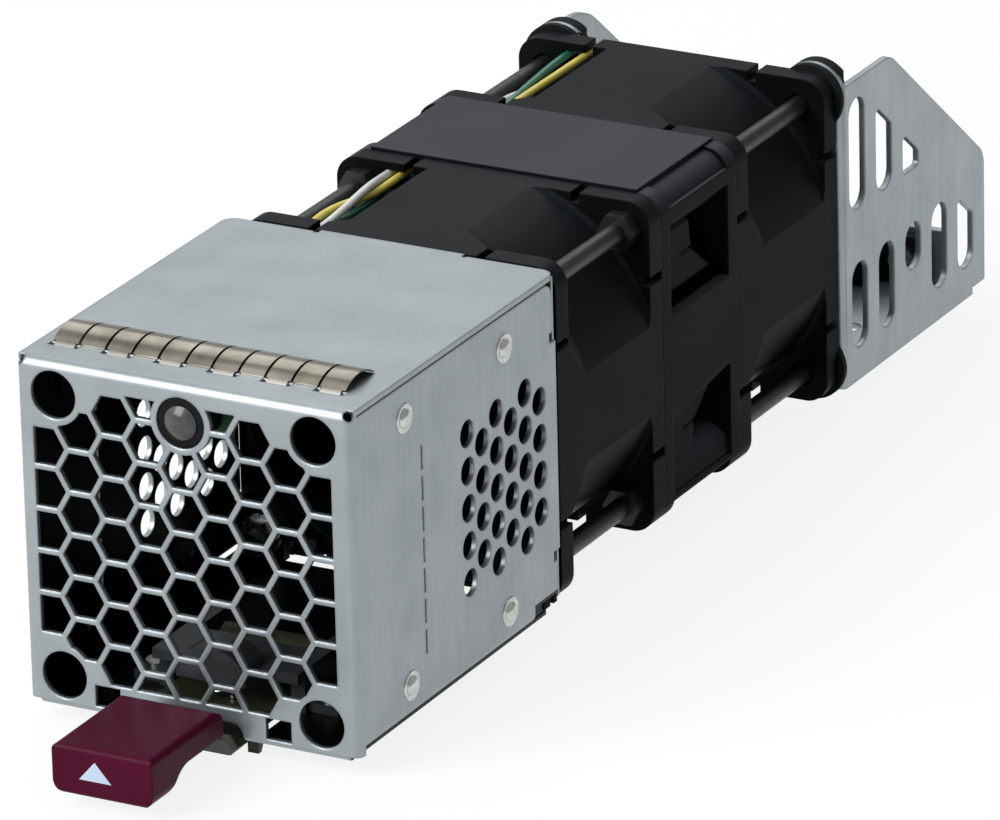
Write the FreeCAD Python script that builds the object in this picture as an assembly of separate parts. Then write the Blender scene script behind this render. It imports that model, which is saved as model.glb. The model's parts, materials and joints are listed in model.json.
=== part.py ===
import FreeCAD, Part
import math
import os

# Hot-swap server fan module: a sheet-metal front cage with a release latch and a status light,
# two axial fans in line with a spacer between them, and a slotted rear bracket with a connector.
# X is across the module, Y runs from the front plate to the back, Z is up.
# The origin is the centre of the four corner holes, on the front plate's outer face.

V = FreeCAD.Vector
UP = V(0, 0, 1)
BACK = V(0, 1, 0)
RIGHT = V(1, 0, 0)

# ---- fans ----
fan_size = 60.0            # square frame, side to side
fan_depth = 38.0
fan_flange = 4.3           # thickness of each square flange
fan_corner = 4.2           # corner radius of the flanges
fan_bore = 57.0            # air duct diameter
hole_pitch = 50.0          # corner holes, centre to centre
hole_dia = 4.3
duct_wall = 2.55
flare_r = 33.5             # the duct flares to this outer radius at the front flange
flare_length = 5.5
root_round = 0.7           # small cone where the duct meets the rear flange
shelf_half = 12.3          # the duct's flat top and bottom reach this far towards the cable side
bell_rise = 0.9            # widening of the bore at the front face
bell_depth = 3.0
hub_dia = 30.0
hub_wall = 1.5
tip_gap = 0.6              # blade tip to duct
blade_count = 7
blade_thick = 1.2
impeller_start = 3.0       # from the fan's front face
impeller_length = 24.0
rotor_wall = 1.0
magnet_wall = 1.5
air_gap = 0.6
stator_length = 10.0
stator_poles = 6
shaft_dia = 3.0
shaft_play = 0.02
bearing_dia = 8.0
bearing_width = 3.0
bearing_tube_wall = 1.5
base_thick = 3.0
vane_count = 5
vane_thick = 1.6
vane_depth = 7.0
board_thick = 1.0

# ---- wires ----
wire_dia = 1.4
lead_dia = 2.2
channel_width = 5.2        # wire channel in a fan's corner
channel_depth = 4.4
channel_roof = 1.4          # flange left over the channel
notch_at = 16.0            # small notches in the flanges' edges
notch_width = 1.6
notch_depth = 1.8
channel_at = 18.4          # middle of the channel from the centre line

# ---- front cage ----
sheet = 1.0
cage_clearance = 0.1       # between the side walls and the width of the fans
cage_top = 30.5            # outer top face above the centre line
side_drop = 28.8           # side walls' lower edge below the centre line
front_drop = 29.6          # front plate's lower edge at its sides
floor_drop = 30.7          # outer face of the bottom flap
floor_width = 57.6
cage_depth = 68.6          # side walls, front to rear edge
top_extra = 1.7            # the top flap reaches this much further back
tab_extra = 1.1            # middle of each side wall reaches this much further back
tab_half = 18.6
top_tab_extra = 0.9        # middle of the top flap's rear edge
top_tab_half = 13.6
rear_round = 2.4           # rounded rear corners of the flaps
floor_flange = 2.8         # inward flanges along the side walls' lower edges
flange_short = 8.0         # the inward flanges end this much before the side walls
bend_r = 1.6
seam_gap = 0.3
relief_dia = 1.7

hex_pitch = 7.42           # grille holes in one column
hex_flat = 6.5             # hole width across its flats
hex_x = -0.45              # middle of the grille
hex_z = 0.55
field_half_x = 27.7        # the grille's holes are cut off at these lines
field_top = 26.7
field_bottom = 25.0
corner_pitch_x = 48.2
corner_pitch_z = 49.4
corner_hole_dia = 8.4
corner_web = 1.1
slot_x = 16.0
slot_z = -27.3
slot_width = 4.8
slot_height = 3.8
mouth_width = 18.6         # latch opening in the front plate
mouth_top = 27.5

perf_dia = 4.8
perf_columns = 6
perf_first = 38.6          # first column from the front
perf_step_y = 5.0
perf_step_z = 6.58
slit_y = 23.2
slit_top = 16.8
slit_length = 4.2
slit_step = 5.4
slit_width = 0.7
slit_count = 7
rivet_rows = (17.7, 51.9)
rivet_z = 23.4
rivet_dia = 3.0
rivet_head = 4.6
rivet_dome = 0.9
rivet_tail = 0.6
arm_half = 3.7             # half height of the inner frame's arms
arm_lead = 6.0             # the arms reach this much past the front rivets

# ---- EMI gasket ----
finger_count = 11
finger_pitch = 4.94
finger_gap = 0.5
gasket_x = -1.3
gasket_y = 8.0
gasket_run = 9.6
gasket_rise = 1.7
gasket_sheet = 0.25
gasket_slot = 1.4
gasket_tip = 3.7           # width of the tips that tuck into the slots
gasket_rail = 1.6

# ---- status light ----
light_x = -0.4
light_z = 23.7
light_hole = 8.9
lens_dia = 5.9
lens_proud = 1.1
holder_wall = 1.0
holder_length = 6.0
emitter_pitch = 2.2
light_board = 12.0

# ---- latch ----
handle_width = 18.6
handle_front = 29.4        # handle's front face ahead of the front plate
handle_back = 6.3
handle_top = 22.4          # below the centre line
handle_lip = 31.0
handle_under = 26.9
lip_run = 3.2              # length of the lip's level underside
grip_sweep = 8.8           # length of the curve from the lip up to the arm
handle_edge = 1.1          # rounding of the handle's upper side edges
handle_nose = 0.9
handle_heel = 2.0
mark_x = -1.35
mark_width = 6.0
mark_height = 3.4
mark_low = -27.9
lever_sheet = 1.4
lever_width = 21.2
tongue_width = 17.4
tongue_drop = 32.4
pan_rise = 1.3             # height of the tongue's turned-up sides
pan_round = 1.2
lever_drop = 29.4          # underside of the lever inside the cage
hook_drop = 33.4
hook_thick = 2.0
hook_width = 3.2
hook_gap = 1.0             # between the hooks and the front plate's bend, for the latch's swing
pivot_y = 27.0
pivot_drop = 26.0
pivot_dia = 3.0
pivot_play = 0.05
latch_turn = 6.0           # degrees the lever lifts
tower_width = 13.0
tower_top = 18.2           # below the centre line
tower_depth = 7.0
tower_y = 6.0
tower_round = 5.0
ear_thick = 2.6
foot_width = 5.5
foot_thick = 1.6
foot_screw = 2.5
foot_screw_head = 4.4
spring_wire = 0.6
spring_dia = 4.4
spring_turns = 4

# ---- stack along Y ----
fan_gap = 3.6              # from the side walls' rear edge to the first fan
spacer_length = 28.2
spacer_flange = 3.4
spacer_wall = 1.8
spacer_tube = 9.0
spacer_top = 0.5           # the spacer's top plate stands this much over the fans
window_high = (7.2, 23.8)
window_low = (-25.8, -11.4)
window_slant = 2.6         # the low window's upper edge rises this much to the rear
rail_top = 26.6            # side walls end here, short of the rounded corners
rib_face = 28.4            # outer faces of the stepped ribs behind the windows
rib_thick = 1.8
frame_sheet = 1.2
isolator_dia = 12.4
isolator_neck = 7.7
ear_dia = 13.4             # round ears of the bracket behind the isolators
isolator_front = 1.2
isolator_rear = 2.2
screw_dia = 3.5
screw_head_dia = 6.6
screw_head = 2.2
screw_socket = 3.0
screw_socket_depth = 1.4
screw_tail = 1.2           # thread showing past the front nuts
nut_flats = 6.0
nut_height = 2.8
washer_dia = 7.8
washer_thick = 0.8

# ---- rear bracket ----
bracket_sheet = 1.2
bracket_overhang = 0.8     # each side plate stands this much outside the fans
bracket_top = 27.1
bracket_floor = 29.2       # outer face of the floor below the centre line
bracket_length = 58.0      # from the fan's back to the side plates' rear edge
bracket_floor_length = 53.0
bracket_knee = 20.4        # length of the side plates' level top edge
bracket_rear_top = -3.5    # height where the slanted edge meets the rear edge
bracket_corner = 5.0
bracket_step = 1.3         # the side plates' rear ends stand this much over the floor
rear_wall_top = -17.4
vent_width = 6.5
vent_step = 10.65
vent_first = 6.9           # middle of the first slot from the fan's back
vent_shift = 0.7           # the lower row lies this much further back
vent_low = (-23.1, -7.1)
vent_base = 3.0            # lower end of the upper row
vent_rail = 12.3           # upright metal left between the slots' slanted ends and the edge
vent_r = 1.0               # corner radius of the slanted ends
connector_width = 30.0
connector_height = 10.0
connector_nose = 4.5       # plug in front of the wall's outer face
connector_body = 7.0       # plug inside the bracket
connector_flange = 2.6
connector_wall = 1.3
contact_count = 8
contact_pitch = 2.54
contact_side = 0.64
contact_tail = 8.2
contact_pin = 4.2
guide_head = 5.2
guide_hole_dia = 3.2
guide_pitch = 38.0

# ---- worked out from the values above ----
half = fan_size / 2
cage_width = fan_size + 2 * (sheet + cage_clearance)
cage_half = cage_width / 2
bracket_width = fan_size + 2 * bracket_overhang
fan_a_y = cage_depth + fan_gap
spacer_y = fan_a_y + fan_depth
fan_b_y = spacer_y + spacer_length
stack_end = fan_b_y + fan_depth
hole_at = hole_pitch / 2
corners = [(sx * hole_at, sz * hole_at) for sx in (-1, 1) for sz in (-1, 1)]
bore_r = fan_bore / 2
duct_r = bore_r + duct_wall
frame_plate_y = fan_a_y - isolator_front - frame_sheet
channel_floor = half - channel_depth
wire_z = channel_floor + 1.6
lead_z = -channel_floor - lead_dia / 2 - 0.15


# ---------------------------------------------------------------- helpers
def box(x0, x1, y0, y1, z0, z1):
    return Part.makeBox(x1 - x0, y1 - y0, z1 - z0, V(x0, y0, z0))


def rod(radius, length, start, axis=BACK):
    return Part.makeCylinder(radius, length, start, axis)


def ring(outer_r, inner_r, y0, length, x=0.0, z=0.0):
    start = V(x, y0, z)
    return rod(outer_r, length, start).cut(rod(inner_r, length, start))


def rounded_square(side, radius, y0, length):
    """A square slab facing Y with round corners."""
    slab = box(-side / 2, side / 2, y0, y0 + length, -side / 2, side / 2)
    edges = [e for e in slab.Edges if abs(e.tangentAt(e.FirstParameter).y) > 0.9]
    return slab.makeFillet(radius, edges)


def prism(points, direction):
    """A straight solid on a closed polygon."""
    face = Part.Face(Part.makePolygon(points + [points[0]]))
    return face.extrude(direction)


def edges_near(shape, test):
    return [e for e in shape.Edges if test(e.CenterOfMass)]


def fuse_all(shapes):
    joined = shapes[0].multiFuse(shapes[1:]) if len(shapes) > 1 else shapes[0]
    return joined.removeSplitter()


def cut_all(body, tools):
    return body.cut(Part.makeCompound(tools))


def corner_waste(block, centre, radius, axis):
    """What a rounded corner leaves of a block, to be cut away."""
    return block.cut(rod(radius, 400, centre - axis * 200, axis))


def both_sides(shape):
    """The shape and its mirror image across the module's middle plane."""
    return [shape, shape.mirror(V(0, 0, 0), RIGHT)]


def route_tube(points, diameter):
    """A tube along straight runs joined by tangent arcs, as wide as the runs allow."""
    knots = [V(*p) for p in points]
    edges = []
    radii = []
    start = knots[0]
    for before, knot, after in zip(knots, knots[1:], knots[2:]):
        back = (before - knot).normalize()
        ahead = (after - knot).normalize()
        half_turn = (math.pi - back.getAngle(ahead)) / 2
        shorter = min((before - knot).Length, (after - knot).Length)
        reach = 0.45 * shorter
        radius = reach / math.tan(half_turn)
        first = knot + back * reach
        last = knot + ahead * reach
        inward = (back + ahead).normalize()
        middle = knot + inward * (radius / math.cos(half_turn) - radius)
        edges.append(Part.LineSegment(start, first).toShape())
        edges.append(Part.Arc(first, middle, last).toShape())
        start = last
        tightest.append(radius / diameter)
        radii.append(radius)
    edges.append(Part.LineSegment(start, knots[-1]).toShape())
    path = Part.Wire(edges)
    along = knots[1] - knots[0]
    profile = Part.Wire(Part.makeCircle(diameter / 2, knots[0], along))
    tube = path.makePipeShell([profile], True, False)
    expected = math.pi * diameter ** 2 / 4 * path.Length
    print("tube length %.1f mm, volume ratio %.4f" % (path.Length, tube.Volume / expected))
    print("bend radii, mm:", " ".join("%.1f" % r for r in radii))
    return tube


def save(node, shape):
    pieces = shape if isinstance(shape, list) else [shape]
    solids = [s for piece in pieces for s in piece.Solids]
    for solid in solids:
        if not solid.isValid():
            print("not valid:", node)
    result = solids[0] if len(solids) == 1 else Part.makeCompound(solids)
    result.exportStep("parts/%s.step" % node)
    total.append(len(solids))
    print("%-26s %3d solids %9.1f mm3" % (node, len(solids), sum(s.Volume for s in solids)))


# ---------------------------------------------------------------- front cage
def hex_holes():
    """Hexagonal holes with points left and right, cut off at the grille's border."""
    radius = hex_flat / math.sqrt(3)
    column_step = hex_pitch * math.sqrt(3) / 2
    field = box(hex_x - field_half_x, hex_x + field_half_x, -2, 4, -field_bottom, field_top)
    keep_clear = [rod(corner_hole_dia / 2 + corner_web, 8, V(x, -3, z))
                  for x, z in corner_hole_places()]
    keep_clear.append(rod(light_hole / 2 + corner_web, 8, V(light_x, -3, light_z)))
    holes = []
    for column in range(-4, 5):
        rows = {0: 3, 1: 3.5, 2: 3, 3: 2.5, 4: 2}[abs(column)]
        count = int(2 * rows) + 1
        for k in range(count):
            x = hex_x + column * column_step
            z = hex_z + (k - rows) * hex_pitch
            if column == 0 and k == count - 1:
                continue
            points = [V(x + radius * math.cos(math.radians(60 * i)), -1,
                        z + radius * math.sin(math.radians(60 * i))) for i in range(6)]
            hole = prism(points, V(0, 3, 0)).common(field)
            holes.append(hole.cut(Part.makeCompound(keep_clear)))
    return holes


def corner_hole_places():
    return [(sx * corner_pitch_x / 2, sz * corner_pitch_z / 2) for sx in (-1, 1) for sz in (-1, 1)]


def folded_box():
    """Front plate with the top and side flaps bent back from it."""
    outer = box(-cage_half, cage_half, 0, cage_depth + top_extra + top_tab_extra, -front_drop, cage_top)
    front = edges_near(outer, lambda c: c.y < 0.01 and c.z > -front_drop + 0.01)
    outer = outer.makeFillet(bend_r, front)
    inner = box(-cage_half + sheet, cage_half - sheet, sheet, 200, -80, cage_top - sheet)
    front = edges_near(inner, lambda c: abs(c.y - sheet) < 0.01 and c.z > -79)
    inner = inner.makeFillet(bend_r - sheet, front)
    return outer.cut(inner)


def bottom_flap():
    """Narrower flap bent back along the lower edge."""
    wide = floor_width / 2
    outer = box(-wide, wide, 0, cage_depth, -floor_drop, -front_drop + 4)
    edge = edges_near(outer, lambda c: c.y < 0.01 and c.z < -floor_drop + 0.01)
    outer = outer.makeFillet(bend_r, edge)
    inner = box(-wide, wide, sheet, 200, -floor_drop + sheet, 0)
    edge = edges_near(inner, lambda c: abs(c.y - sheet) < 0.01 and c.z < -floor_drop + sheet + 0.01)
    return outer.cut(inner.makeFillet(bend_r - sheet, edge))


def side_flange():
    """Lower edge of the right side wall, bent inwards over the bottom flap."""
    y0 = bend_r + 0.4
    y1 = cage_depth - flange_short
    low = -side_drop
    outer = box(cage_half - floor_flange, cage_half, y0, y1, low, low + 2 * bend_r)
    edge = edges_near(outer, lambda c: c.x > cage_half - 0.01 and c.z < low + 0.01)
    outer = outer.makeFillet(bend_r, edge)
    inner = box(0, cage_half - sheet, y0 - 1, y1 + 1, low + sheet, 0)
    edge = edges_near(inner, lambda c: c.x > cage_half - sheet - 0.01 and c.z < low + sheet + 0.01)
    return outer.cut(inner.makeFillet(bend_r - sheet, edge))


def front_cage():
    top_end = cage_depth + top_extra
    far = top_end + top_tab_extra + 1
    shell = folded_box().fuse(bottom_flap())
    cuts = hex_holes()
    # side walls: lower edge, rear edge with its middle tab, and the seam under the top flap
    for side in (-1, 1):
        x0, x1 = sorted((side * (cage_half - sheet - 0.5), side * (cage_half + 0.5)))
        cuts.append(box(x0, x1, cage_depth - flange_short, far, -front_drop - 1, -side_drop))
        cuts.append(box(x0, x1, bend_r + 0.4, far, -front_drop - 1, -side_drop + 2 * bend_r - 0.1))
        for z0, z1 in ((-side_drop - 1, -tab_half - slit_step / 3), (tab_half + slit_step / 3, cage_top - sheet)):
            cuts.append(box(x0, x1, cage_depth, far, z0, z1))
        cuts.append(box(x0, x1, cage_depth + tab_extra, far, -tab_half - 2, tab_half + 2))
        for z in (-tab_half - slit_step / 6, tab_half + slit_step / 6):
            cuts.append(box(x0, x1, cage_depth - sheet, far, z - slit_step / 6, z + slit_step / 6))
        cuts.append(box(x0, x1, bend_r + 0.4, far, cage_top - sheet - seam_gap, cage_top - sheet))
        # rounded rear corners of the top flap and the side wall
        xc = side * (cage_half - rear_round)
        xa, xb = sorted((xc, side * (cage_half + 1)))
        block = box(xa, xb, top_end - rear_round, far, cage_top - sheet, cage_top + 1)
        cuts.append(corner_waste(block, V(xc, top_end - rear_round, 0), rear_round, UP))
        wall_top = cage_top - sheet - seam_gap
        block = box(x0, x1, cage_depth - rear_round, far, wall_top - rear_round, wall_top)
        cuts.append(corner_waste(block, V(0, cage_depth - rear_round, wall_top - rear_round), rear_round, RIGHT))
        xa, xb = sorted((side * top_tab_half, side * (cage_half + 1)))
        cuts.append(box(xa, xb, top_end, far, cage_top - 2 * sheet, cage_top + 1))
        notch_x = side * (top_tab_half + sheet / 2)
        cuts.append(rod(sheet / 2, 3 * sheet, V(notch_x, top_end, cage_top - 2 * sheet), UP))
        for y in rivet_rows:
            for z in (-rivet_z, rivet_z):
                cuts.append(rod(rivet_dia / 2, 3 * sheet, V(x0, y, z), RIGHT))
        for k in range(perf_columns):
            rows = 4 if k % 2 else 5
            for r in range(rows):
                y = perf_first + k * perf_step_y
                z = (r - (rows - 1) / 2) * perf_step_z
                cuts.append(rod(perf_dia / 2, 3 * sheet, V(x0, y, z), RIGHT))
        for k in range(slit_count):
            top = slit_top - k * slit_step
            cuts.append(box(x0, x1, slit_y - slit_width / 2, slit_y + slit_width / 2, top - slit_length, top))
        corner = V(side * cage_half, 0, cage_top)
        slant = V(side, -1, 1).normalize()
        cuts.append(rod(relief_dia / 2, 6, corner - slant * 5, slant))
        slot_mid = side * slot_x
        cuts.append(box(slot_mid - slot_width / 2, slot_mid + slot_width / 2, -1, 2 * sheet,
                        slot_z - slot_height / 2, slot_z + slot_height / 2))
    for x, z in corner_hole_places():
        cuts.append(rod(corner_hole_dia / 2, 3 * sheet, V(x, -1, z)))
    cuts.append(rod(light_hole / 2, 3 * sheet, V(light_x, -1, light_z)))
    cuts.append(latch_mouth())
    # floor slot that the lever and its hooks drop through
    lever_half = lever_width / 2 + 0.8
    cuts.append(box(-lever_half, lever_half, bend_r, tower_y + tower_depth, -floor_drop - 1, -front_drop + 2))
    # slots that the gasket clips into
    for k in range(0, finger_count, 2):
        x = gasket_x + (k - (finger_count - 1) / 2) * finger_pitch
        wide = finger_pitch / 2 + 0.3
        cuts.append(box(x - wide, x + wide, gasket_y - gasket_slot, gasket_y, cage_top - 2, cage_top + 1))
    shell = cut_all(shell, cuts)
    return fuse_all([shell] + both_sides(side_flange()))


def latch_mouth():
    """Opening in the front plate, rounded at its top corners and open at the bottom."""
    wide = mouth_width / 2
    opening = box(-wide, wide, -1, bend_r + 0.5, -floor_drop - 1, -mouth_top)
    top = edges_near(opening, lambda c: c.z > -mouth_top - 0.01 or abs(abs(c.x) - wide) < 0.01)
    top = [e for e in top if abs(e.tangentAt(e.FirstParameter).y) > 0.9 and e.CenterOfMass.z > -mouth_top - 0.01]
    return opening.makeFillet(2.0, top)


def side_rivets():
    """Domed rivets that hold the side walls to the inner frame."""
    rivets = []
    grip = 2 * sheet
    for y in rivet_rows:
        for z in (-rivet_z, rivet_z):
            tail_x = cage_half - grip - rivet_tail
            shank = rod(rivet_dia / 2, grip + rivet_tail, V(tail_x, y, z), RIGHT)
            head_r = rivet_head / 2
            dome_r = (head_r ** 2 + rivet_dome ** 2) / (2 * rivet_dome)
            dome = Part.makeSphere(dome_r, V(cage_half + rivet_dome - dome_r, y, z))
            dome = dome.common(rod(head_r + 1, rivet_dome + 1, V(cage_half, y, z), RIGHT))
            tail = rod(rivet_dia * 0.75, rivet_tail, V(tail_x, y, z), RIGHT)
            rivets += both_sides(fuse_all([shank, dome, tail]))
    return rivets


def inner_frame():
    """Rear plate that carries the first fan, with an arm along each corner of the cage."""
    y0 = frame_plate_y
    inner_half = cage_half - sheet
    plate = box(-inner_half, inner_half, y0, y0 + frame_sheet, -side_drop + sheet, cage_top - sheet - seam_gap)
    cuts = [rod(bore_r, 3 * frame_sheet, V(0, y0 - frame_sheet, 0))]
    cuts += [rod(isolator_neck / 2 + 0.05, 3 * frame_sheet, V(x, y0 - frame_sheet, z)) for x, z in corners]
    cuts += wire_channels(y0 - 1, 3 * frame_sheet, half)
    arms = []
    for z in (-rivet_z, rivet_z):
        arm = box(inner_half - sheet, inner_half, rivet_rows[0] - arm_lead, y0 + frame_sheet, z - arm_half, z + arm_half)
        cuts += [rod(rivet_dia / 2, cage_width, V(-cage_half, y, z), RIGHT) for y in rivet_rows]
        arms += both_sides(arm)
    return cut_all(fuse_all([plate] + arms), cuts)


def emi_gasket():
    """Row of arched spring fingers that share a rail at the back."""
    z0 = cage_top + 0.05
    sag = gasket_rise
    y1 = gasket_y + gasket_run
    middle = gasket_y + 0.62 * gasket_run
    upper = Part.Arc(V(0, gasket_y, z0 + gasket_sheet), V(0, middle, z0 + sag), V(0, y1, z0 + gasket_sheet))
    lower = Part.Arc(V(0, y1, z0), V(0, middle, z0 + sag - gasket_sheet), V(0, gasket_y, z0))
    front = Part.LineSegment(V(0, gasket_y, z0), V(0, gasket_y, z0 + gasket_sheet))
    rear = Part.LineSegment(V(0, y1, z0 + gasket_sheet), V(0, y1, z0))
    outline = Part.Wire(Part.__sortEdges__([e.toShape() for e in (upper, rear, lower, front)]))
    width = finger_count * finger_pitch
    strip = Part.Face(outline).extrude(V(width, 0, 0))
    strip.translate(V(gasket_x - width / 2, 0, 0))
    gaps = []
    for k in range(1, finger_count):
        x = gasket_x - width / 2 + k * finger_pitch
        gaps.append(box(x - finger_gap / 2, x + finger_gap / 2, gasket_y - 1, y1 - gasket_rail, z0 - 1, z0 + 5))
    strip = cut_all(strip, gaps)
    tips = []
    for k in range(0, finger_count, 2):
        x = gasket_x + (k - (finger_count - 1) / 2) * finger_pitch - gasket_tip / 2
        reach = gasket_y - gasket_slot + 0.1
        dip = z0 - 0.8 * sheet
        side = [V(x, gasket_y + 0.3, z0 + gasket_sheet), V(x, gasket_y, z0 + 0.02), V(x, reach, dip),
                V(x, reach, dip + gasket_sheet), V(x, gasket_y, z0 + gasket_sheet)]
        tips.append(prism(side, V(gasket_tip, 0, 0)))
    return fuse_all([strip] + tips)


# ---------------------------------------------------------------- status light
def light_parts():
    """Domed lens in a black sleeve, with a small board and two emitters behind it."""
    lens_r = lens_dia / 2
    dome_r = (lens_r ** 2 + lens_proud ** 2) / (2 * lens_proud)
    at = V(light_x, 0, light_z)
    dome = Part.makeSphere(dome_r, V(light_x, -lens_proud + dome_r, light_z))
    dome = dome.common(rod(lens_r, 2 * lens_proud, V(light_x, -lens_proud * 1.5, light_z)))
    dome = dome.common(box(-99, 99, -5, 0.02, -99, 99))
    lens = fuse_all([dome, rod(lens_r, holder_length - 1.5, at)])
    outer = light_hole / 2 - 0.15
    sleeve = ring(outer, lens_r, 0.2, holder_length)
    collar = ring(outer + 0.8, lens_r, sheet, 1.6)
    sleeve = fuse_all([sleeve, collar])
    sleeve.translate(V(light_x, 0, light_z))
    board_y = holder_length + 0.2
    side = light_board / 2
    board = box(light_x - side, light_x + side, board_y, board_y + board_thick, light_z - 4.2, light_z + 4.2)
    emitters = [box(light_x + dx - 0.8, light_x + dx + 0.8, board_y - 0.9, board_y, light_z - 0.8, light_z + 0.8)
                for dx in (-emitter_pitch / 2, emitter_pitch / 2)]
    return lens, sleeve, board, emitters


# ---------------------------------------------------------------- latch
def s_curve(y0, z0, y1, z1):
    """Two arcs that lead from one level line to another."""
    turn = 2 * math.atan2(abs(z1 - z0), abs(y1 - y0))
    radius = abs(y1 - y0) / 2 / math.sin(turn)
    side = math.copysign(1, y1 - y0)
    fall = math.copysign(1, z1 - z0)
    near = V(0, y0 + side * radius * math.sin(turn / 2), z0 + fall * radius * (1 - math.cos(turn / 2)))
    far = V(0, y1 - side * radius * math.sin(turn / 2), z1 - fall * radius * (1 - math.cos(turn / 2)))
    middle = V(0, (y0 + y1) / 2, (z0 + z1) / 2)
    return [Part.Arc(V(0, y0, z0), near, middle).toShape(), Part.Arc(middle, far, V(0, y1, z1)).toShape()]


def handle():
    """Finger grip: a flat top and a deep front lip that sweeps up to a thin arm."""
    wide = handle_width / 2
    lip_y = -handle_front + lip_run
    under = -handle_under
    corners_yz = [V(0, lip_y, -handle_lip), V(0, -handle_front, -handle_lip), V(0, -handle_front, -handle_top),
                  V(0, -handle_back, -handle_top), V(0, -handle_back, under), V(0, lip_y + grip_sweep, under)]
    outline = s_curve(lip_y + grip_sweep, under, lip_y, -handle_lip)
    outline.append(Part.makePolygon(corners_yz))
    wire = Part.Wire(Part.__sortEdges__([e for part in outline for e in part.Edges]))
    body = Part.Face(wire).extrude(V(handle_width, 0, 0))
    body.translate(V(-wide, 0, 0))
    across = [e for e in body.Edges if abs(e.tangentAt(e.FirstParameter).x) > 0.9]
    high = [e for e in across if e.CenterOfMass.z > -handle_top - 0.01]
    body = body.makeFillet(handle_heel, [e for e in high if e.CenterOfMass.y > -handle_back - 0.01])
    across = [e for e in body.Edges if abs(e.tangentAt(e.FirstParameter).x) > 0.9]
    front = [e for e in across if e.CenterOfMass.y < -handle_front + 0.01]
    body = body.makeFillet(handle_nose, front)
    profile = box(-wide, wide, -handle_front - 1, 0, -handle_lip, -handle_top)
    along = [e for e in profile.Edges if abs(e.tangentAt(e.FirstParameter).y) > 0.9]
    profile = profile.makeFillet(handle_edge, [e for e in along if e.CenterOfMass.z > -handle_top - 0.01])
    along = [e for e in profile.Edges if abs(e.tangentAt(e.FirstParameter).y) > 0.9]
    profile = profile.makeFillet(2.4, [e for e in along if e.CenterOfMass.z < -handle_lip + 0.01])
    socket = box(-tongue_width / 2 + 1.5, tongue_width / 2 - 1.5, -handle_back - 8, -handle_back + 1,
                 under - 1, under + lever_sheet)
    return body.common(profile).cut(socket).cut(handle_mark())


def handle_mark():
    """Triangle set flush in the handle's front face, pointing up."""
    w = mark_width / 2
    y = -handle_front
    corners_xz = [V(mark_x - w, y, mark_low), V(mark_x + w, y, mark_low), V(mark_x, y, mark_low + mark_height)]
    return prism(corners_xz, V(0, 0.3, 0))


def lever():
    """Channel-shaped tongue under the handle, running back to the pivot, with two hooks."""
    t = lever_sheet
    pivot_z = -pivot_drop
    tip_y = -handle_back - 8
    # centre line of the tongue: down from the handle, through the mouth, up to the pivot
    top = [(tip_y, -handle_under + t), (-handle_back + 1.2, -handle_under + t), (-1.4, -tongue_drop + t),
           (tower_y, -tongue_drop + t + 0.2), (tower_y + 5, -lever_drop + t), (pivot_y, -lever_drop + t)]
    low = [(pivot_y, -lever_drop), (tower_y + 5.4, -lever_drop), (tower_y + 0.4, -tongue_drop + 0.2),
           (-2.0, -tongue_drop), (-handle_back + 0.6, -handle_under), (tip_y, -handle_under)]
    narrow = tongue_width / 2 - 1.5
    tongue = prism([V(-narrow, y, z) for y, z in top + low], V(2 * narrow, 0, 0))
    # the part between the front plate and the tower is wider and dished
    wide = tongue_width / 2
    dish = [(-handle_back + 1.6, -handle_under - 1.6), (-2.0, -tongue_drop), (tower_y + 0.4, -tongue_drop + 0.2),
            (tower_y + 3, -tongue_drop + pan_rise), (-1, -tongue_drop + pan_rise),
            (-handle_back + 3.4, -handle_under - 1.4)]
    pan = prism([V(-wide, y, z) for y, z in dish], V(2 * wide, 0, 0))
    low_edges = [e for e in pan.Edges if abs(e.CenterOfMass.x) > wide - 0.01 and e.CenterOfMass.z < -tongue_drop + 0.6]
    pan = pan.makeFillet(pan_round, low_edges)
    hollow = prism([V(-wide + t, y, z + t) for y, z in dish], V(2 * (wide - t), 0, 0))
    hollow = hollow.fuse(hollow.translated(V(0, 0, 3)))
    pan = pan.cut(hollow)
    # wide plate over the floor, with the hooks at its front corners
    side = lever_width / 2
    plate = box(-side, side, tower_y + 5, pivot_y - 3, -lever_drop, -lever_drop + t)
    hooks = []
    for hook in both_sides(box(side - hook_thick, side, bend_r + 0.6, tower_y + 5 + t, -lever_drop, -lever_drop + t)):
        hooks.append(hook)
    claw_top = -lever_drop + t
    claw = prism([V(side - hook_thick, bend_r + hook_gap, claw_top), V(side - hook_thick, bend_r + hook_gap, -hook_drop),
                  V(side - hook_thick, bend_r + hook_gap + 1, -hook_drop),
                  V(side - hook_thick, bend_r + hook_gap + hook_width, -lever_drop),
                  V(side - hook_thick, bend_r + hook_gap + hook_width, claw_top)], V(hook_thick, 0, 0))
    hooks += both_sides(claw)
    web = box(-side, side, tower_y - 0.6, tower_y + 5.2, -lever_drop, -lever_drop + t)
    web = web.cut(box(-wide - 0.2, wide + 0.2, 0, tower_y + 1.6, -40, 0))
    knuckle = rod(pivot_dia / 2 + 1.6, lever_width - 3.0, V(-lever_width / 2 + 1.5, pivot_y, pivot_z), RIGHT)
    cheek = box(-side + 1.5, side - 1.5, pivot_y - 4.6, pivot_y, -lever_drop, pivot_z)
    seat = rod(spring_dia / 2 + 0.2, 3.0, V(0, tower_y + tower_depth / 2, -lever_drop + t - 3.0), UP)
    body = fuse_all([tongue, pan, plate, web, knuckle, cheek, seat] + hooks)
    bore = rod(pivot_dia / 2 + pivot_play, 2 * lever_width, V(-lever_width, pivot_y, pivot_z), RIGHT)
    return body.cut(bore)


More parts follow.
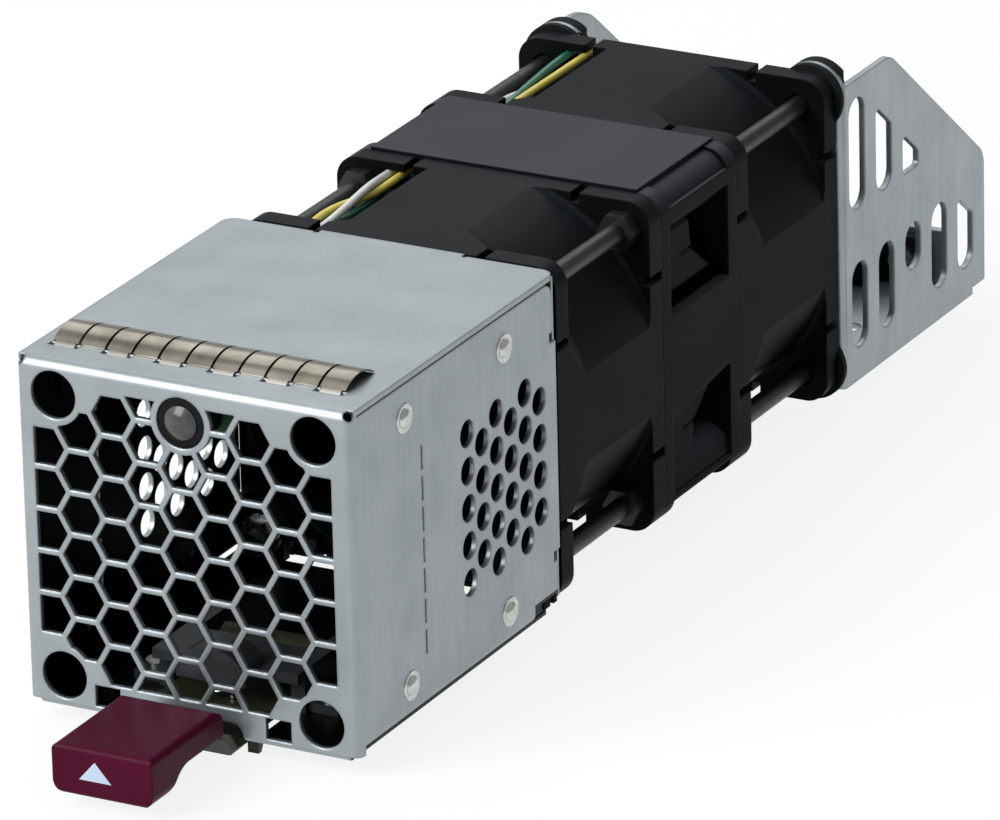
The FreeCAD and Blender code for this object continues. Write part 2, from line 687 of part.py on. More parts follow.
def latch_housing():
    """Moulding over the lever: two ears for the pivot and a domed tower for the spring."""
    floor = -floor_drop + sheet
    inner = lever_width / 2 + 0.5
    outer = inner + ear_thick
    y1 = pivot_y + 5
    roof_z = -pivot_drop + pivot_dia / 2 + 2.4
    ear = box(inner, outer, tower_y + tower_depth, y1, floor, roof_z)
    top = [e for e in ear.Edges if abs(e.tangentAt(e.FirstParameter).x) > 0.9 and e.CenterOfMass.z > roof_z - 0.01]
    ear = ear.makeFillet(2.0, top)
    foot = box(inner, outer + foot_width, tower_y + tower_depth + 1, y1 - 2, floor, floor + foot_thick)
    roof = box(-outer, outer, tower_y + tower_depth - 1.6, pivot_y - 5.4, roof_z - 1.8, roof_z)
    front = tower_y
    tower = box(-tower_width / 2, tower_width / 2, front, front + tower_depth, roof_z - 1.8, -tower_top)
    ridge = [e for e in tower.Edges if abs(e.tangentAt(e.FirstParameter).y) > 0.9 and e.CenterOfMass.z > -tower_top - 0.01]
    tower = tower.makeFillet(tower_round, ridge)
    bridge = box(-outer, outer, front + tower_depth - 2.2, front + tower_depth + 1.6, roof_z - 1.8, roof_z)
    screws = [V(sx * (outer + foot_width / 2), y, floor - 1) for sx in (-1, 1) for y in housing_screw_rows()]
    body = fuse_all([roof, tower, bridge] + both_sides(ear) + both_sides(foot))
    well = rod(spring_dia / 2 + 0.5, -tower_top - 2 - (roof_z - 3), V(0, front + tower_depth / 2, roof_z - 3), UP)
    bore = rod(pivot_dia / 2 + 0.01, 3 * outer, V(-1.5 * outer, pivot_y, -pivot_drop), RIGHT)
    holes = [rod(foot_screw / 2 + 0.05, 6, at, UP) for at in screws]
    return cut_all(body, [well, bore] + holes)


def housing_screw_rows():
    return (tower_y + tower_depth + 4.5, pivot_y - 1.5)


def housing_screws():
    """Small pan-head screws up through the floor into the housing's feet."""
    outer = lever_width / 2 + 0.5 + ear_thick
    screws = []
    for y in housing_screw_rows():
        x = outer + foot_width / 2
        shank = rod(foot_screw / 2, foot_thick + 0.5, V(x, y, -floor_drop + sheet), UP)
        head = rod(foot_screw_head / 2, 1.0, V(x, y, -floor_drop + sheet + foot_thick), UP)
        screws += both_sides(fuse_all([shank, head]))
    return screws


def latch_pin():
    outer = lever_width / 2 + 0.5 + ear_thick
    return rod(pivot_dia / 2, 2 * outer, V(-outer, pivot_y, -pivot_drop), RIGHT)


def latch_spring():
    """Compression spring between the tower's roof and the lever."""
    bottom = -lever_drop + lever_sheet + 0.1
    height = (-tower_top - 2) - bottom - 0.2
    pitch = height / spring_turns
    helix = Part.makeHelix(pitch, height - spring_wire, (spring_dia - spring_wire) / 2)
    start = V((spring_dia - spring_wire) / 2, 0, 0)
    profile = Part.Wire(Part.makeCircle(spring_wire / 2, start, V(0, 1, 0)))
    coil = Part.Wire(helix).makePipeShell([profile], True, True)
    coil.translate(V(0, tower_y + tower_depth / 2, bottom + spring_wire / 2))
    return coil


# ---------------------------------------------------------------- fans
def wire_channels(y0, length, roof=half - channel_roof):
    """Space for the harness along the upper left corner, and for the fan lead along the lower one."""
    x = -channel_at
    upper = box(x - channel_width / 2, x + channel_width / 2, y0, y0 + length, channel_floor, roof)
    return [upper, upper.mirror(V(0, 0, 0), UP)]


def fan_frame():
    """Square flanges joined by a round duct with flat sides, motor base on vanes at the rear."""
    rear = fan_depth - fan_flange
    duct = rod(duct_r, fan_depth, V(0, 0, 0))
    flare = Part.makeCone(flare_r, duct_r, flare_length, V(0, fan_flange, 0), BACK)
    root = Part.makeCone(duct_r, duct_r + root_round, root_round, V(0, rear - root_round, 0), BACK)
    square = box(-half, half, 0, fan_depth, -half, half)
    duct = duct.multiFuse([flare, root]).common(square)
    shelf = box(-shelf_half, 0, 0, fan_depth, bore_r - 1, half)
    shelves = [shelf, shelf.mirror(V(0, 0, 0), UP)]
    flanges = [rounded_square(fan_size, fan_corner, 0, fan_flange),
               rounded_square(fan_size, fan_corner, rear, fan_flange)]
    body = fuse_all([duct] + shelves + flanges)
    cuts = [rod(bore_r, fan_depth + 2, V(0, -1, 0))]
    cuts.append(Part.makeCone(bore_r + bell_rise, bore_r, bell_depth, V(0, 0, 0), BACK))
    cuts += [rod(hole_dia / 2, fan_depth + 2, V(x, -1, z)) for x, z in corners]
    # notches where the flanges part from the duct's flat sides
    for turn in range(4):
        for side in (-1, 1):
            x = side * notch_at
            w = notch_width / 2
            for y in (0, rear):
                notch = box(x - w, x + w, y - 1, y + fan_flange + 1, half - notch_depth, half + 1)
                notch.rotate(V(0, 0, 0), BACK, 90 * turn)
                cuts.append(notch)
    for y in (-1, rear - 1):
        cuts += wire_channels(y, fan_flange + 2)
    cuts += wire_channels(fan_flange, rear - fan_flange, half + 1)
    body = cut_all(body, cuts)
    base_y = fan_depth - base_thick - 1
    base = rod(hub_dia / 2 + 0.5, base_thick, V(0, base_y, 0))
    spokes = []
    for k in range(vane_count):
        vane = box(-vane_thick / 2, vane_thick / 2, fan_depth - vane_depth, fan_depth - 0.6, hub_dia / 2 - 1, bore_r + 0.6)
        vane.rotate(V(0, 0, 0), BACK, 360.0 / vane_count * k + 20)
        spokes.append(vane)
    body = fuse_all([body, base] + spokes)
    return body.cut(rod(bearing_tube_r(), 20, V(0, fan_depth - 19, 0)))


def bearing_tube_r():
    return bearing_dia / 2 + bearing_tube_wall


def blade():
    """Curved blade: arc sections that flatten from hub to tip, trimmed to the tip radius."""
    hub_r = hub_dia / 2
    tip_r = bore_r - tip_gap
    sections = []
    for radius, chord, pitch in ((hub_r - 0.8, 20.0, 52), (hub_r + 7, 22.5, 42), (tip_r + 2.5, 25.0, 34)):
        lean = math.radians(pitch)
        along = V(0, math.sin(lean), math.cos(lean))
        normal = V(0, math.cos(lean), -math.sin(lean))
        middle = V(radius, impeller_length / 2, 0)
        nose = middle - along * (chord / 2)
        tail = middle + along * (chord / 2)
        bow = normal * (-0.09 * chord)
        skin = normal * (blade_thick / 2)
        upper = Part.Arc(nose - skin * 0.4, middle + bow - skin, tail - skin * 0.4).toShape()
        lower = Part.Arc(tail + skin * 0.4, middle + bow + skin, nose + skin * 0.4).toShape()
        back = Part.LineSegment(tail - skin * 0.4, tail + skin * 0.4).toShape()
        front = Part.LineSegment(nose + skin * 0.4, nose - skin * 0.4).toShape()
        sections.append(Part.Wire([upper, back, lower, front]))
    solid = Part.makeLoft(sections, True, False)
    limits = rod(tip_r, impeller_length - 1, V(0, 0.5, 0))
    return solid.common(limits)


def impeller():
    """Hub cup, closed at the front, with blades round it."""
    hub_r = hub_dia / 2
    cup = rod(hub_r, impeller_length, V(0, 0, 0))
    nose = edges_near(cup, lambda c: c.y < 0.01)
    cup = cup.makeFillet(2.0, nose)
    cup = cup.cut(rod(hub_r - hub_wall, impeller_length, V(0, hub_wall, 0)))
    first = blade().cut(rod(hub_r - hub_wall / 2, 100, V(0, -20, 0)))
    blades = []
    for k in range(blade_count):
        copy = first.copy()
        copy.rotate(V(0, 0, 0), BACK, 360.0 / blade_count * k)
        blades.append(copy)
    body = fuse_all([cup] + blades)
    body = body.cut(rod(shaft_dia / 2, 20, V(0, -2, 0)))
    body.translate(V(0, impeller_start, 0))
    return body


def coil_winding(angle):
    """One coil round a stator pole."""
    inner = bearing_tube_r() + 1.8
    outer = stator_r() - 2.2
    coil = box(inner, outer, stator_y() - 1.4, stator_y() + stator_length + 1.4, -2.6, 2.6)
    coil = coil.cut(box(inner - 1, outer + 1, stator_y(), stator_y() + stator_length, -1.2, 1.2))
    long_edges = [e for e in coil.Edges if abs(e.tangentAt(e.FirstParameter).x) > 0.9
                  and abs(abs(e.CenterOfMass.z) - 2.6) < 0.01]
    coil = coil.makeFillet(0.8, long_edges)
    coil.rotate(V(0, 0, 0), BACK, angle)
    return coil


def magnet_r():
    return hub_dia / 2 - hub_wall - rotor_wall


def stator_r():
    return magnet_r() - magnet_wall - air_gap


def stator_y():
    return impeller_start + hub_wall + rotor_wall + 5.0


def stator_core():
    """Ring on the bearing tube with T-shaped poles."""
    y0 = stator_y()
    core = ring(bearing_tube_r() + 1.6, bearing_tube_r(), y0, stator_length)
    rim = ring(stator_r(), stator_r() - 1.4, y0, stator_length)
    poles = []
    gaps = []
    for k in range(stator_poles):
        pole = box(bearing_tube_r() + 0.8, stator_r() - 0.7, y0, y0 + stator_length, -1.2, 1.2)
        pole.rotate(V(0, 0, 0), BACK, 360.0 / stator_poles * k)
        poles.append(pole)
        gap = box(stator_r() - 3, stator_r() + 1, y0 - 1, y0 + stator_length + 1, -0.8, 0.8)
        gap.rotate(V(0, 0, 0), BACK, 360.0 / stator_poles * (k + 0.5))
        gaps.append(gap)
    return cut_all(fuse_all([core, rim] + poles), gaps)


def fan(prefix, y):
    """All pieces of one fan, placed with its front face at y."""
    def put(node, shape):
        pieces = shape if isinstance(shape, list) else [shape]
        moved = [piece.translated(V(0, y, 0)) for piece in pieces]
        save(prefix + "_" + node, moved)

    cup_y = impeller_start + hub_wall
    yoke_r = hub_dia / 2 - hub_wall
    tube_end = fan_depth - 1.0
    tube_start = stator_y() - 2.5
    put("frame", fan_frame())
    put("impeller", impeller())
    yoke = rod(yoke_r, impeller_length - hub_wall - 1, V(0, cup_y, 0))
    yoke = yoke.cut(rod(magnet_r(), impeller_length, V(0, cup_y + rotor_wall, 0)))
    put("rotor_yoke", yoke.cut(rod(shaft_dia / 2, 20, V(0, cup_y - 2, 0))))
    put("magnet_ring", ring(magnet_r(), magnet_r() - magnet_wall, cup_y + rotor_wall + 2, impeller_length - hub_wall - 6))
    shaft_end = fan_depth - 3.0
    put("shaft", rod(shaft_dia / 2, shaft_end - impeller_start - 0.4, V(0, impeller_start + 0.4, 0)))
    bore = shaft_dia / 2 + shaft_play
    put("bearings", [ring(bearing_dia / 2, bore, tube_start + 0.4, bearing_width),
                     ring(bearing_dia / 2, bore, tube_end - 5.5 - bearing_width, bearing_width)])
    put("bearing_tube", ring(bearing_tube_r(), bearing_dia / 2, tube_start, tube_end - tube_start))
    put("stator_core", stator_core())
    put("coils", [coil_winding(360.0 / stator_poles * k) for k in range(stator_poles)])
    board_y = fan_depth - base_thick - 1 - board_thick
    put("circuit_board", ring(hub_dia / 2 - 1.5, bearing_tube_r(), board_y, board_thick))
    clip = ring(shaft_dia / 2 + 0.9, shaft_dia / 2, tube_end - 4.6, 0.5)
    put("retaining_ring", clip)


# ---------------------------------------------------------------- spacer
def window_cut(y0, y1, z0, z1, rise):
    """Opening through a side wall whose upper edge rises towards the rear."""
    x = half - 2 * spacer_wall
    outline = [V(x, y0, z0), V(x, y1, z0), V(x, y1, z1 + rise), V(x, y0, z1)]
    return prism(outline, V(3 * spacer_wall, 0, 0))


def window_ribs(y0, length):
    """Two stepped ribs behind the upper window of the right side wall."""
    x = rib_face - rib_thick
    low = window_high[0] + 3.2
    split = (low + window_high[1] - 2.4) / 2
    high = window_high[1] - 2.4
    deep = [V(x, y0, low), V(x, y0 + 0.82 * length, low), V(x, y0 + 0.5 * length, split - 0.3), V(x, y0, split - 0.3)]
    flat = [V(x, y0, split + 0.3), V(x, y0 + 0.5 * length, split + 0.3), V(x, y0 + 0.46 * length, high), V(x, y0, high)]
    shelf = box(x, rib_face, y0, y0 + 0.3 * length, split - 0.4, split + 0.4)
    return [prism(deep, V(rib_thick, 0, 0)), prism(flat, V(rib_thick, 0, 0)), shelf]


def spacer():
    """Open box between the fans: two flanges, corner tubes, top and bottom plates, windowed sides."""
    y0, y1 = spacer_y, spacer_y + spacer_length
    flanges = [rounded_square(fan_size, fan_corner, y0, spacer_flange),
               rounded_square(fan_size, fan_corner, y1 - spacer_flange, spacer_flange)]
    plate_half = hole_at + 0.6
    top = half + spacer_top
    plates = [box(-plate_half, plate_half, y0, y1, top - spacer_wall, top),
              box(-plate_half, plate_half, y0, y1, -top, -top + spacer_wall)]
    tubes = [rod(spacer_tube / 2, spacer_length, V(x, y0, z)) for x, z in corners]
    wall = box(half - spacer_wall, half, y0, y1, -rail_top, rail_top)
    for (z0, z1), rise in ((window_low, window_slant), (window_high, 0.0)):
        wall = wall.cut(window_cut(y0 + spacer_flange, y1 - spacer_flange, z0, z1, rise))
    ribs = window_ribs(y0 + spacer_flange - 0.2, spacer_length - 2 * spacer_flange)
    ribs += [rib.mirror(V(0, 0, 0), UP) for rib in ribs]
    ribs = [piece for rib in ribs for piece in both_sides(rib)]
    body = fuse_all(flanges + plates + tubes + both_sides(wall) + ribs)
    cuts = [rod(bore_r, spacer_length + 2, V(0, y0 - 1, 0))]
    cuts += [rod(hole_dia / 2, spacer_length + 2, V(x, y0 - 1, z)) for x, z in corners]
    cuts += wire_channels(y0 - 1, spacer_length + 2)
    return cut_all(body, cuts)


# ---------------------------------------------------------------- rear bracket
def side_plate():
    """Right side plate: level top edge, slanted shoulder, two rows of slots."""
    x0 = bracket_width / 2 - bracket_sheet
    y0 = stack_end + isolator_front
    y1 = stack_end + bracket_length
    knee = stack_end + bracket_knee
    floor_end = stack_end + bracket_floor_length
    low = -bracket_floor
    step = low + bracket_step
    points = [V(x0, y0, low), V(x0, floor_end, low), V(x0, floor_end, step), V(x0, y1, step),
              V(x0, y1, bracket_rear_top), V(x0, knee, bracket_top), V(x0, y0, bracket_top)]
    plate = prism(points, V(bracket_sheet, 0, 0))
    round_at = [e for e in plate.Edges if abs(e.tangentAt(e.FirstParameter).x) > 0.9
                and e.CenterOfMass.z > bracket_rear_top - 0.01 and e.CenterOfMass.y > y0 + 1]
    plate = plate.makeFillet(bracket_corner, round_at)
    cuts = []
    slope = (bracket_rear_top - bracket_top) / (y1 - knee)
    for k in range(5):
        mid = stack_end + vent_first + vent_shift + k * vent_step
        z0, z1 = vent_low
        if k == 2:
            cuts.append(vent_slot(x0, mid, z1 - 0.55 * (z1 - z0), z1, 0))
        elif k == 4:
            cuts.append(vent_slot(x0, mid, z0, bracket_top + slope * (mid - knee) - vent_rail - 1.5, slope))
        else:
            cuts.append(vent_slot(x0, mid, z0, z1, 0))
    for k in range(3):
        mid = stack_end + vent_first + k * vent_step
        edge = bracket_top + slope * (mid - knee) - vent_rail
        limit = bracket_top - 3.4
        cuts.append(vent_slot(x0, mid, vent_base, min(edge, limit), slope if edge < limit else 0))
    return cut_all(plate, cuts)


def vent_slot(x0, mid, z0, z1, slope):
    """Upright slot with round ends, its top end level or parallel to the slanted edge."""
    w = vent_width / 2
    rise = -slope * w
    points = [V(x0 - 1, mid - w, z0), V(x0 - 1, mid + w, z0), V(x0 - 1, mid + w, z1 - rise), V(x0 - 1, mid - w, z1 + rise)]
    slot = prism(points, V(bracket_sheet + 2, 0, 0))
    edges = [e for e in slot.Edges if abs(e.tangentAt(e.FirstParameter).x) > 0.9]
    low = [e for e in edges if e.CenterOfMass.z < z0 + 0.01]
    high = [e for e in edges if e.CenterOfMass.z > z0 + 0.01]
    short = z1 - rise - z0 < w
    slot = slot.makeFillet(vent_r if short else w - 0.1, low)
    high = [e for e in slot.Edges if abs(e.tangentAt(e.FirstParameter).x) > 0.9
            and e.CenterOfMass.z > z1 - abs(rise) - 0.01]
    return slot.makeFillet(vent_r if slope else w - 0.1, high)


def rear_bracket():
    """Folded tray: a ring plate behind the fan, two slotted sides, a floor and a low rear wall."""
    t = bracket_sheet
    y0 = stack_end + isolator_front
    wide = bracket_width / 2
    floor_end = stack_end + bracket_floor_length
    low = -bracket_floor
    floor = box(-wide + t, wide - t, y0, floor_end, low, low + t)
    front = box(-wide, wide, y0, y0 + t, low, bracket_top)
    rear = box(-wide + 4, wide - 4, floor_end - t, floor_end, low, rear_wall_top)
    ears = [rod(ear_dia / 2, t, V(x, y0, hole_at)).common(box(-wide, wide, y0, y0 + t, 0, half + ear_dia))
            for x in (-hole_at, hole_at)]
    body = fuse_all([floor, front, rear] + both_sides(side_plate()) + ears)
    bends = [e for e in body.Edges if abs(e.tangentAt(e.FirstParameter).z) > 0.99
             and abs(e.CenterOfMass.y - y0) < 0.01 and abs(abs(e.CenterOfMass.x) - wide) < 0.01]
    body = body.makeFillet(bend_r - 0.6, bends)
    cuts = [rod(bore_r, 3 * t, V(0, y0 - t, 0))]
    cuts += [rod(isolator_neck / 2 + 0.05, 3 * t, V(x, y0 - t, z)) for x, z in corners]
    clear_floor = box(-wide, wide, y0 - 1, y0 + 3 * t, low + t, half)
    cuts += [channel.common(clear_floor) for channel in wire_channels(y0 - 1, 3 * t, half)]
    inner = wide - t
    relief_end = y0 + t + isolator_rear + washer_thick + screw_head + 1.8
    relief = box(hole_at - isolator_dia / 2 - 0.4, inner, y0 + t, relief_end, low - 1, low + t)
    cuts += both_sides(relief)
    opening_z = rear_wall_top - connector_height / 2 - 0.6
    cuts.append(box(-connector_width / 2 + 2, connector_width / 2 - 2, floor_end - 2 * t, floor_end + 1,
                    opening_z - connector_height / 2 + 1, opening_z + connector_height / 2 - 1))
    for sx in (-1, 1):
        cuts.append(rod(guide_hole_dia / 2, 3 * t, V(sx * guide_pitch / 2, floor_end - 2 * t, opening_z)))
        cuts.append(rod(2.2, 3 * t, V(sx * guide_pitch / 2, stack_end + bracket_floor_length / 2, low - t), UP))
    return cut_all(body, cuts)


def wall_y():
    """Inner face of the bracket's rear wall."""
    return stack_end + bracket_floor_length - bracket_sheet


def connector_z():
    return rear_wall_top - connector_height / 2 - 0.6


def connector_housing():
    """Blind-mate plug: a shell with a cavity to the rear and a flange against the wall."""
    y = wall_y()
    z = connector_z()
    w = connector_width / 2 - connector_wall - 1
    h = connector_height / 2 - connector_wall
    tip = y + bracket_sheet + connector_nose
    nose = box(-w, w, y - connector_body, tip, z - h, z + h)
    ear_x = guide_pitch / 2 + guide_hole_dia + 0.2
    flange = box(-ear_x, ear_x, y - connector_flange, y, z - h - 0.7, z + h + 0.7)
    cavity = box(-w + connector_wall, w - connector_wall, y - 1, tip + 1, z - h + connector_wall, z + h - connector_wall)
    body = fuse_all([nose, flange])
    cuts = [cavity]
    cuts += [rod(guide_hole_dia / 2, 8, V(sx * guide_pitch / 2, y - 5, z)) for sx in (-1, 1)]
    c = contact_side / 2
    for x in contact_places():
        cuts.append(box(x - c, x + c, y - connector_body - 1, y, z - c, z + c))
    return cut_all(body, cuts)


def contact_places():
    return [(k - (contact_count - 1) / 2) * contact_pitch for k in range(contact_count)]


def connector_contacts():
    y = wall_y()
    z = connector_z()
    c = contact_side / 2
    return [box(x - c, x + c, y - contact_tail, y + contact_pin, z - c, z + c) for x in contact_places()]


# ---------------------------------------------------------------- fixings
def isolator(y0, front, rear, grip, x, z):
    """Rubber bush: a disc each side of the sheet and a neck through it."""
    r = isolator_dia / 2
    bush = fuse_all([rod(r, front, V(x, y0, z)), rod(isolator_neck / 2, grip, V(x, y0 + front, z)),
                     rod(r, rear, V(x, y0 + front + grip, z))])
    return bush.cut(rod(hole_dia / 2, 30, V(x, y0 - 5, z)))


def front_isolators():
    """Bushes between the cage's inner frame and the first fan, flat where they meet its arms."""
    y0 = frame_plate_y - isolator_rear
    flat = cage_half - 2 * sheet - 0.1
    room = box(-flat, flat, 0, spacer_y, -floor_drop + sheet + 0.1, cage_top - sheet - 0.1)
    bushes = [isolator(y0, isolator_rear, isolator_front, frame_sheet, x, z) for x, z in corners]
    return [cut_all(bush.common(room), wire_channels(y0 - 1, 20, half)) for bush in bushes]


def rear_isolators():
    """Bushes between the last fan and the bracket, flat where they meet its sides."""
    rear_y = stack_end + isolator_front + bracket_sheet
    flat = bracket_width / 2 - bracket_sheet - 0.1
    low = -hole_at - isolator_dia / 2
    room = box(-flat, flat, rear_y, stack_end + bracket_length, low, half + 5)
    room = room.fuse(box(-half - 5, half + 5, stack_end, rear_y, low, half + 5))
    bushes = [isolator(stack_end, isolator_front, isolator_rear, bracket_sheet, x, z) for x, z in corners]
    return [cut_all(bush.common(room), wire_channels(stack_end - 1, 20, half)) for bush in bushes]


def tie_screws():
    """Long screws through bracket, fans and spacer, with a nut's thread at the front."""
    head_y = stack_end + isolator_front + bracket_sheet + isolator_rear + washer_thick
    tip_y = frame_plate_y - isolator_rear - washer_thick - nut_height - screw_tail
    screws = []
    for x, z in corners:
        shank = rod(screw_dia / 2, head_y - tip_y, V(x, tip_y, z))
        head = rod(screw_head_dia / 2, screw_head, V(x, head_y, z))
        socket = rod(screw_socket / 2, screw_socket_depth, V(x, head_y + screw_head - screw_socket_depth, z))
        screws.append(fuse_all([shank, head]).cut(socket))
    return screws


def tie_washers():
    rear_y = stack_end + isolator_front + bracket_sheet + isolator_rear
    front_y = frame_plate_y - isolator_rear - washer_thick
    return [ring(washer_dia / 2, screw_dia / 2 + 0.2, y, washer_thick, x, z)
            for x, z in corners for y in (front_y, rear_y)]


def hex_nuts(y0):
    """One hexagon nut on each tie screw, with its front face at y0."""
    nuts = []
    radius = nut_flats / math.sqrt(3)
    for x, z in corners:
        points = [V(x + radius * math.cos(math.radians(60 * i)), y0,
                    z + radius * math.sin(math.radians(60 * i))) for i in range(6)]
        nut = prism(points, V(0, nut_height, 0))
        nuts.append(nut.cut(rod(screw_dia / 2, 2 * nut_height, V(x, y0 - 1, z))))
    return nuts


def connector_screws():
    z = connector_z()
    screws = []
    for sx in (-1, 1):
        head_y = wall_y() - connector_flange - 1.4
        grip = connector_flange + bracket_sheet
        shank = rod(guide_hole_dia / 2 - 0.3, grip + 2, V(sx * guide_pitch / 2, head_y + 0.6, z))
        head = rod(guide_head / 2, 1.4, V(sx * guide_pitch / 2, head_y, z))
        screws.append(fuse_all([shank, head]))
    return screws


# ---------------------------------------------------------------- wires
def harness_wires():
    """Three wires from the light's board, along the fans' upper left corner, to the connector."""
    at = -channel_at
    end_y = wall_y() - contact_tail
    end_z = connector_z()
    first_flange = fan_a_y + fan_flange
    second_flange = spacer_y
    third_flange = fan_b_y
    last_flange = stack_end
    ways = {
        "white": [(at + 0.4, 48, wire_z + 0.3), (at + 0.4, first_flange + 5, wire_z + 0.3),
                  (at - 0.6, second_flange - 13, wire_z + 1.4), (at - 1.6, second_flange - 5.5, wire_z + 0.65),
                  (at - 1.6, third_flange + 3, wire_z + 0.1), (at - 2.3, third_flange + 12, wire_z - 0.5),
                  (at - 2.0, third_flange + 21, wire_z - 1.8), (at + 0.4, last_flange - 3, wire_z - 0.8)],
        "green": [(at - 0.8, 48, wire_z - 0.7), (at - 0.8, first_flange + 5.5, wire_z - 0.75),
                  (at - 0.9, first_flange + 14, wire_z - 1.85), (at - 1.0, second_flange - 13, wire_z - 1.85),
                  (at - 0.9, second_flange - 6.5, wire_z - 0.85),
                  (at + 1.0, second_flange + 12, wire_z - 0.9), (at - 0.1, third_flange + 2, wire_z - 0.6),
                  (at - 1.9, last_flange - 8, wire_z + 0.6)],
        "yellow": [(at - 1.8, 48, wire_z + 0.4), (at - 1.8, first_flange + 1, wire_z + 0.4),
                   (at - 3.0, first_flange + 11, wire_z + 0.1), (at - 0.3, second_flange - 12, wire_z - 0.3),
                   (at + 0.4, second_flange - 6, wire_z + 0.25),
                   (at + 0.5, second_flange + 13, wire_z + 0.8), (at + 1.4, third_flange + 1, wire_z + 0.5),
                   (at + 1.2, last_flange - 26, wire_z + 0.4), (at + 1.2, last_flange - 5, wire_z + 0.45)]}
    for pin, colour in enumerate(("green", "white", "yellow")):
        start_x = light_x + {"yellow": -1, "green": 0, "white": 1}[colour] * 2.4
        start_z = light_z - 1.5
        end_x = contact_places()[pin]
        points = [(start_x, holder_length + board_thick + 0.25, start_z), (start_x, 16, start_z)]
        points += ways[colour]
        x, y, z = points[-1]
        drop_y = last_flange + {"white": 4.9, "green": 5.3, "yellow": 5.7}[colour]
        points += [(x + 0.2, drop_y, z - 0.1), (x + 2.5, drop_y + 6, z - 10),
                   (end_x, end_y - 9, end_z), (end_x, end_y, end_z)]
        save("harness_wire_" + colour, route_tube(points, wire_dia))


def fan_leads():
    """Sleeved leads from the fans' bases to the connector, the first along the lower left corner."""
    base = 9.0
    end_y = wall_y() - contact_tail
    end_z = connector_z()
    x = -channel_at + 1
    out = fan_a_y + fan_depth - 0.95
    end_x = contact_places()[4]
    first = [(-base, out, -base - 2), (-base, out + 9.5, -base - 2), (x, out + 18.8, lead_z),
             (x, stack_end + 9, lead_z), (x + 7, stack_end + 22, lead_z + 2.5),
             (end_x, end_y - 9, end_z), (end_x, end_y, end_z)]
    out = fan_b_y + fan_depth - 0.95
    end_x = contact_places()[6]
    second = [(-base, out, -base), (-base, out + 8, -base), (-base + 7, out + 20, -base - 9),
              (end_x, end_y - 9, end_z), (end_x, end_y, end_z)]
    save("fan_a_lead", route_tube(first, lead_dia))
    save("fan_b_lead", route_tube(second, lead_dia))


# ---------------------------------------------------------------- build
os.makedirs("parts", exist_ok=True)
total = []
tightest = []

save("front_cage", front_cage())
save("side_rivets", side_rivets())
save("inner_frame", inner_frame())
save("emi_gasket", emi_gasket())
lens, sleeve, light_board_piece, emitters = light_parts()
save("light_lens", lens)
save("light_sleeve", sleeve)
save("light_board", light_board_piece)
save("light_emitters", emitters)
save("latch_handle", handle())
save("handle_mark", handle_mark())
save("latch_lever", lever())
save("latch_housing", latch_housing())
save("latch_pin", latch_pin())
save("latch_spring", latch_spring())
save("latch_screws", housing_screws())
fan("fan_a", fan_a_y)
fan("fan_b", fan_b_y)
save("fan_spacer", spacer())
save("rear_bracket", rear_bracket())
save("connector_housing", connector_housing())
save("connector_contacts", connector_contacts())
save("connector_screws", connector_screws())
save("front_isolators", front_isolators())
save("rear_isolators", rear_isolators())
save("tie_screws", tie_screws())
save("tie_washers", tie_washers())
save("tie_nuts", hex_nuts(frame_plate_y - isolator_rear - washer_thick - nut_height))
save("stack_nuts", hex_nuts(fan_a_y + fan_depth - fan_flange - nut_height))
harness_wires()
fan_leads()
print("solids:", sum(total), "smallest bend in diameters: %.1f" % min(tightest))
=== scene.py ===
import json
import math
import bpy
import numpy as np
from mathutils import Matrix, Vector


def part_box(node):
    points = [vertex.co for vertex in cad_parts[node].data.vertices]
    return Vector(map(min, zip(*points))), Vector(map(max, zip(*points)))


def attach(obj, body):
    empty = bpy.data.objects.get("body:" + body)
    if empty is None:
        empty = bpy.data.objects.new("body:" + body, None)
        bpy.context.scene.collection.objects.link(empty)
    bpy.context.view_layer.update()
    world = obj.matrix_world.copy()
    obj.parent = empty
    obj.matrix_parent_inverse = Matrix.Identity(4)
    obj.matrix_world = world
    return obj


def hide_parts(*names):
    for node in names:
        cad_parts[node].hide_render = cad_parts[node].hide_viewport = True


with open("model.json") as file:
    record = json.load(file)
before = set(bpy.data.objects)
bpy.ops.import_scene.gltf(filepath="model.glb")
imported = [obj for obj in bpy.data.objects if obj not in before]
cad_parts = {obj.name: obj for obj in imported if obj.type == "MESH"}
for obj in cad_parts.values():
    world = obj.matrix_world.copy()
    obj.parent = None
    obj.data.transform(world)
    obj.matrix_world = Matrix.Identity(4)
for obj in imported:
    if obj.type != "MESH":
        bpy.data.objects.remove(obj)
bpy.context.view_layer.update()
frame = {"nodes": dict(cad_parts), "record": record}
nodes = frame["nodes"]

# where the camera stands: degrees round and above the module, metres away from the point it aims at
cameraSetup = {"azimuth": 28.6156, "elevation": 21.6549, "roll": -1.4206,
               "aim": (0.004616, 0.098560, -0.008751), "distance": 1.721722, "lens": 364.49,
               "sensor": 36, "farthest": 50}


def placeCamera(setup):
    # forward runs from the camera to the aim point; right is level, then turned by the roll
    az, el, roll = (math.radians(setup[key]) for key in ("azimuth", "elevation", "roll"))
    forward = Vector((-math.sin(az) * math.cos(el), math.cos(az) * math.cos(el), -math.sin(el)))
    level = forward.cross(Vector((0, 0, 1))).normalized()
    up = level.cross(forward)
    right = level * math.cos(roll) + up * math.sin(roll)
    up = right.cross(forward)
    data = bpy.data.cameras.new("camera")
    data.lens = setup["lens"]
    data.sensor_width = setup["sensor"]
    data.clip_end = setup["farthest"]
    cam = bpy.data.objects.new("camera", data)
    place = Vector(setup["aim"]) - forward * setup["distance"]
    cam.matrix_world = Matrix.Translation(place) @ Matrix((right, up, -forward)).transposed().to_4x4()
    bpy.context.scene.collection.objects.link(cam)
    bpy.context.scene.camera = cam


placeCamera(cameraSetup)
print("camera placed")


